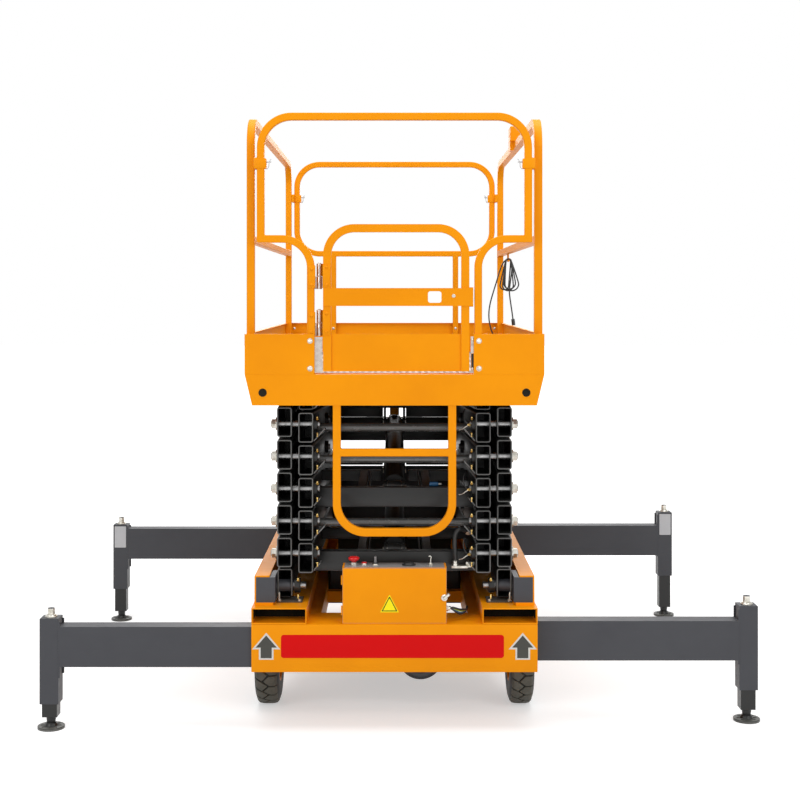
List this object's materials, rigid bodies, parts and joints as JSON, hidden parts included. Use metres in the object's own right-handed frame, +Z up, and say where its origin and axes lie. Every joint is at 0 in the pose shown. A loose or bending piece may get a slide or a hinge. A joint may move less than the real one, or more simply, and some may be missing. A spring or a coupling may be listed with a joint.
{
  "type": "towed scissor lift",
  "caption": "Towed hydraulic scissor lift, lowered, with outriggers drawn out, a railed platform with a gate and a ladder, and a folding drawbar.",
  "frame": {"origin": "on the ground under the middle of the machine's bounding box", "axes": "+X to the machine's right seen from the gate, across the outriggers; +Y from the gate end to the drawbar end; +Z up"},
  "size_m": [3.017, 2.2, 2.527],
  "materials": {
    "yellow_paint": "semi gloss",
    "grey_paint": "semi gloss",
    "black_paint": "semi gloss",
    "floor_paint": "matt, slip resistant",
    "zinc": "zinc plated",
    "controls": "gloss",
    "black_plastic": "matt",
    "black_rubber": "matt",
    "tyre_rubber": "matt"
  },
  "bodies": {
    "chassis": {"chassis_frame": "yellow_paint", "front_box": "yellow_paint", "rear_box": "yellow_paint", "roller_channels": "yellow_paint", "pivot_blocks": "grey_paint", "control_box": "yellow_paint", "box_controls": "controls", "power_unit": "black_paint", "axles": "grey_paint"},
    "knuckle_left": {"knuckle_left": "grey_paint"},
    "knuckle_right": {"knuckle_right": "grey_paint"},
    "steering_link": {"steering_link": "grey_paint"},
    "drawbar_swivel": {"drawbar_swivel": "yellow_paint"},
    "drawbar": {"drawbar": "yellow_paint"},
    "platform": {"platform_deck": "yellow_paint", "platform_channels": "yellow_paint", "toe_boards": "yellow_paint", "rail_left": "yellow_paint", "rail_right": "yellow_paint", "rail_front": "yellow_paint", "rail_rear": "yellow_paint", "gate_hinges": "zinc", "ladder": "yellow_paint", "cord_lines": "black_rubber", "cord_coil": "black_rubber", "cord_plug": "black_plastic", "cord_gland": "black_plastic"},
    "gate": {"gate": "yellow_paint"},
    "wheel_front_left": {"tyre_front_left": "tyre_rubber", "rim_front_left": "yellow_paint"},
    "outrigger_front_left": {"outrigger_front_left": "grey_paint"},
    "jack_front_left": {"jack_front_left": "black_paint"},
    "wheel_front_right": {"tyre_front_right": "tyre_rubber", "rim_front_right": "yellow_paint"},
    "outrigger_front_right": {"outrigger_front_right": "grey_paint"},
    "jack_front_right": {"jack_front_right": "black_paint"},
    "wheel_rear_left": {"tyre_rear_left": "tyre_rubber", "rim_rear_left": "yellow_paint"},
    "outrigger_rear_left": {"outrigger_rear_left": "grey_paint"},
    "jack_rear_left": {"jack_rear_left": "black_paint"},
    "wheel_rear_right": {"tyre_rear_right": "tyre_rubber", "rim_rear_right": "yellow_paint"},
    "outrigger_rear_right": {"outrigger_rear_right": "grey_paint"},
    "jack_rear_right": {"jack_rear_right": "black_paint"},
    "outer_arms_1": {"outer_arms_1": "black_paint"},
    "inner_frame_1": {"inner_frame_1": "black_paint"},
    "outer_arms_2": {"outer_arms_2": "black_paint"},
    "inner_frame_2": {"inner_frame_2": "black_paint"},
    "outer_arms_3": {"outer_arms_3": "black_paint"},
    "inner_frame_3": {"inner_frame_3": "black_paint"},
    "outer_arms_4": {"outer_arms_4": "black_paint"},
    "inner_frame_4": {"inner_frame_4": "black_paint"},
    "outer_arms_5": {"outer_arms_5": "black_paint"},
    "inner_frame_5": {"inner_frame_5": "black_paint"},
    "outer_arms_6": {"outer_arms_6": "black_paint"},
    "inner_frame_6": {"inner_frame_6": "black_paint"},
    "cylinder_barrel_1": {"cylinder_barrel_1": "black_paint"},
    "cylinder_rod_1": {"cylinder_rod_1": "zinc"},
    "cylinder_barrel_2": {"cylinder_barrel_2": "black_paint"},
    "cylinder_rod_2": {"cylinder_rod_2": "zinc"}
  },
  "joints": [
    {"name": "lift", "type": "hinge", "parent": "chassis", "child": "outer_arms_1", "pos_m": [0, -0.95, 0.551], "axis": [1, 0, 0], "range_deg": [0, 53]},
    {"name": "stage_1_centre", "type": "hinge", "parent": "outer_arms_1", "child": "inner_frame_1", "pos_m": [0, -0.00228, 0.6167], "axis": [1, 0, 0], "range_deg": [-106, 0]},
    {"name": "stage_2_centre", "type": "hinge", "parent": "outer_arms_2", "child": "inner_frame_2", "pos_m": [0, -0.00228, 0.7481], "axis": [1, 0, 0], "range_deg": [-106, 0]},
    {"name": "stage_2_foot", "type": "hinge", "parent": "inner_frame_1", "child": "outer_arms_2", "pos_m": [0, -0.95, 0.6824], "axis": [1, 0, 0], "range_deg": [0, 106]},
    {"name": "stage_3_centre", "type": "hinge", "parent": "outer_arms_3", "child": "inner_frame_3", "pos_m": [0, -0.00228, 0.8795], "axis": [1, 0, 0], "range_deg": [-106, 0]},
    {"name": "stage_3_foot", "type": "hinge", "parent": "inner_frame_2", "child": "outer_arms_3", "pos_m": [0, -0.95, 0.8138], "axis": [1, 0, 0], "range_deg": [0, 106]},
    {"name": "stage_4_centre", "type": "hinge", "parent": "outer_arms_4", "child": "inner_frame_4", "pos_m": [0, -0.00228, 1.0109], "axis": [1, 0, 0], "range_deg": [-106, 0]},
    {"name": "stage_4_foot", "type": "hinge", "parent": "inner_frame_3", "child": "outer_arms_4", "pos_m": [0, -0.95, 0.9452], "axis": [1, 0, 0], "range_deg": [0, 106]},
    {"name": "stage_5_centre", "type": "hinge", "parent": "outer_arms_5", "child": "inner_frame_5", "pos_m": [0, -0.00228, 1.1423], "axis": [1, 0, 0], "range_deg": [-106, 0]},
    {"name": "stage_5_foot", "type": "hinge", "parent": "inner_frame_4", "child": "outer_arms_5", "pos_m": [0, -0.95, 1.0766], "axis": [1, 0, 0], "range_deg": [0, 106]},
    {"name": "stage_6_centre", "type": "hinge", "parent": "outer_arms_6", "child": "inner_frame_6", "pos_m": [0, -0.00228, 1.2737], "axis": [1, 0, 0], "range_deg": [-106, 0]},
    {"name": "stage_6_foot", "type": "hinge", "parent": "inner_frame_5", "child": "outer_arms_6", "pos_m": [0, -0.95, 1.208], "axis": [1, 0, 0], "range_deg": [0, 106]},
    {"name": "platform_pin", "type": "hinge", "parent": "inner_frame_6", "child": "platform", "pos_m": [0, -0.95, 1.3394], "axis": [1, 0, 0], "range_deg": [0, 53]},
    {"name": "cylinder_1_base", "type": "hinge", "parent": "inner_frame_1", "child": "cylinder_barrel_1", "pos_m": [0, -0.76614, 0.65835], "axis": [1, 0, 0], "range_deg": [0, 113.4]},
    {"name": "cylinder_1_stroke", "type": "slide", "parent": "cylinder_barrel_1", "child": "cylinder_rod_1", "axis": [0, 0.9965, 0.0839], "range_m": [0, 0.4103]},
    {"name": "cylinder_2_base", "type": "hinge", "parent": "inner_frame_3", "child": "cylinder_barrel_2", "pos_m": [0, -0.76614, 0.92115], "axis": [1, 0, 0], "range_deg": [0, 113.4]},
    {"name": "cylinder_2_stroke", "type": "slide", "parent": "cylinder_barrel_2", "child": "cylinder_rod_2", "axis": [0, 0.9965, 0.0839], "range_m": [0, 0.4103]},
    {"name": "gate_hinge", "type": "hinge", "parent": "platform", "child": "gate", "pos_m": [-0.302, -1.022, 1.713], "axis": [0, 0, 1], "range_deg": [0, 95]},
    {"name": "steering", "type": "hinge", "parent": "chassis", "child": "drawbar_swivel", "pos_m": [0, 0.95, 0.254], "axis": [0, 0, 1], "range_deg": [-30, 30]},
    {"name": "drawbar_fold", "type": "hinge", "parent": "drawbar_swivel", "child": "drawbar", "pos_m": [0, 1.07, 0.238], "axis": [-1, 0, 0], "range_deg": [0, 100]},
    {"name": "steering_link_pin", "type": "hinge", "parent": "drawbar_swivel", "child": "steering_link", "pos_m": [0, 0.85, 0.254], "axis": [0, 0, 1], "range_deg": [-30, 30]},
    {"name": "knuckle_left_pin", "type": "hinge", "parent": "chassis", "child": "knuckle_left", "pos_m": [-0.42, 0.5, 0.2], "axis": [0, 0, 1], "range_deg": [-30, 30]},
    {"name": "wheel_front_left_spin", "type": "hinge", "parent": "chassis", "child": "wheel_front_left", "pos_m": [-0.5305, -0.685, 0.2], "axis": [1, 0, 0], "continuous": true},
    {"name": "wheel_rear_left_spin", "type": "hinge", "parent": "knuckle_left", "child": "wheel_rear_left", "pos_m": [-0.5305, 0.5, 0.2], "axis": [1, 0, 0], "continuous": true},
    {"name": "knuckle_right_pin", "type": "hinge", "parent": "chassis", "child": "knuckle_right", "pos_m": [0.42, 0.5, 0.2], "axis": [0, 0, 1], "range_deg": [-30, 30]},
    {"name": "wheel_front_right_spin", "type": "hinge", "parent": "chassis", "child": "wheel_front_right", "pos_m": [0.5305, -0.685, 0.2], "axis": [1, 0, 0], "continuous": true},
    {"name": "wheel_rear_right_spin", "type": "hinge", "parent": "knuckle_right", "child": "wheel_rear_right", "pos_m": [0.5305, 0.5, 0.2], "axis": [1, 0, 0], "continuous": true},
    {"name": "outrigger_front_left_slide", "type": "slide", "parent": "chassis", "child": "outrigger_front_left", "axis": [1, 0, 0], "range_m": [0, 0.758]},
    {"name": "jack_front_left_screw", "type": "slide", "parent": "outrigger_front_left", "child": "jack_front_left", "axis": [0, 0, 1], "range_m": [-0.201, 0.049]},
    {"name": "outrigger_front_right_slide", "type": "slide", "parent": "chassis", "child": "outrigger_front_right", "axis": [-1, 0, 0], "range_m": [0, 0.818]},
    {"name": "jack_front_right_screw", "type": "slide", "parent": "outrigger_front_right", "child": "jack_front_right", "axis": [0, 0, 1], "range_m": [-0.173, 0.077]},
    {"name": "outrigger_rear_left_slide", "type": "slide", "parent": "chassis", "child": "outrigger_rear_left", "axis": [1, 0, 0], "range_m": [0, 0.839]},
    {"name": "jack_rear_left_screw", "type": "slide", "parent": "outrigger_rear_left", "child": "jack_rear_left", "axis": [0, 0, 1], "range_m": [-0.135, 0.115]},
    {"name": "outrigger_rear_right_slide", "type": "slide", "parent": "chassis", "child": "outrigger_rear_right", "axis": [-1, 0, 0], "range_m": [0, 0.839]},
    {"name": "jack_rear_right_screw", "type": "slide", "parent": "outrigger_rear_right", "child": "jack_rear_right", "axis": [0, 0, 1], "range_m": [-0.085, 0.165]}
  ],
  "couplings": [
    {"joint": "stage_1_centre", "follows": "lift", "ratio": -2},
    {"joint": "stage_2_centre", "follows": "lift", "ratio": -2},
    {"joint": "stage_2_foot", "follows": "lift", "ratio": 2},
    {"joint": "stage_3_centre", "follows": "lift", "ratio": -2},
    {"joint": "stage_3_foot", "follows": "lift", "ratio": 2},
    {"joint": "stage_4_centre", "follows": "lift", "ratio": -2},
    {"joint": "stage_4_foot", "follows": "lift", "ratio": 2},
    {"joint": "stage_5_centre", "follows": "lift", "ratio": -2},
    {"joint": "stage_5_foot", "follows": "lift", "ratio": 2},
    {"joint": "stage_6_centre", "follows": "lift", "ratio": -2},
    {"joint": "stage_6_foot", "follows": "lift", "ratio": 2},
    {"joint": "platform_pin", "follows": "lift", "ratio": 1},
    {"joint": "cylinder_1_base", "follows": "lift", "ratio": 2.1296},
    {"joint": "cylinder_1_stroke", "follows": "lift", "m_per_rad": 0.44299},
    {"joint": "cylinder_2_base", "follows": "lift", "ratio": 2.1296},
    {"joint": "cylinder_2_stroke", "follows": "lift", "m_per_rad": 0.44299},
    {"joint": "steering_link_pin", "follows": "steering", "ratio": -1},
    {"joint": "knuckle_left_pin", "follows": "steering", "ratio": 1},
    {"joint": "knuckle_right_pin", "follows": "steering", "ratio": 1}
  ]
}
